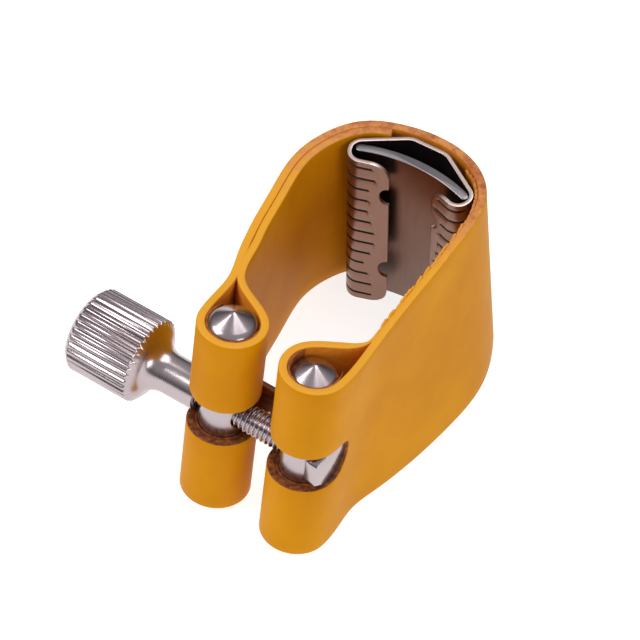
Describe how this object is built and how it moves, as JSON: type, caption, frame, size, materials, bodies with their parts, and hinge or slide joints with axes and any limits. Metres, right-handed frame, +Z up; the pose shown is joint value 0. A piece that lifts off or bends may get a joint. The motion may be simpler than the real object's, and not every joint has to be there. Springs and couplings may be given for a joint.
{
  "type": "saxophone ligature",
  "caption": "Leather strap ligature that clamps a reed to a saxophone mouthpiece, drawn together round two posts by one bolt and a knurled thumb nut, with a sliding metal reed plate.",
  "frame": {"origin": "on the mouthpiece's axis, in the plane of the strap's lower edge", "axes": "+Z up the mouthpiece's axis, towards its tip; -Y towards the clamp's posts; -X towards the thumb nut"},
  "size_m": [0.0363, 0.046, 0.0287],
  "materials": {
    "strap_leather": "smooth coated leather, golden yellow",
    "lining_leather": "uncoated leather strip",
    "brown_leather": "dark stained leather",
    "nickel_plate": "bright nickel plating",
    "rolled_sheet": "rolled sheet, lightly polished",
    "brushed_plate": "satin plate with a bright edge"
  },
  "bodies": {
    "root": {"strap_right": "strap_leather", "strap_left_wall": "strap_leather", "right_loop_lining": "lining_leather", "right_post": "nickel_plate", "clamp_bolt": "nickel_plate", "plate_holder": "rolled_sheet", "holder_rivets": "nickel_plate"},
    "left_side": {"strap_left_loop": "strap_leather", "left_loop_lining": "lining_leather", "left_post": "nickel_plate", "bolt_guard": "brown_leather"},
    "thumb_nut": {"thumb_nut": "nickel_plate"},
    "reed_plate": {"reed_plate": "brushed_plate"}
  },
  "joints": [
    {"name": "clamp_close", "type": "slide", "parent": "root", "child": "left_side", "axis": [1, 0, 0], "range_m": [-0.003, 0.0024], "deforming": ["strap_left_wall"]},
    {"name": "thumb_turn", "type": "hinge", "parent": "left_side", "child": "thumb_nut", "pos_m": [0, -0.021, 0.01375], "axis": [1, 0, 0], "range_deg": [-1802, 1442]},
    {"name": "plate_slide", "type": "slide", "parent": "root", "child": "reed_plate", "axis": [0, -0.0747, 0.9972], "range_m": [0, 0.026]}
  ],
  "couplings": [
    {"joint": "thumb_turn", "follows": "clamp_close", "rad_per_m": 10472}
  ]
}
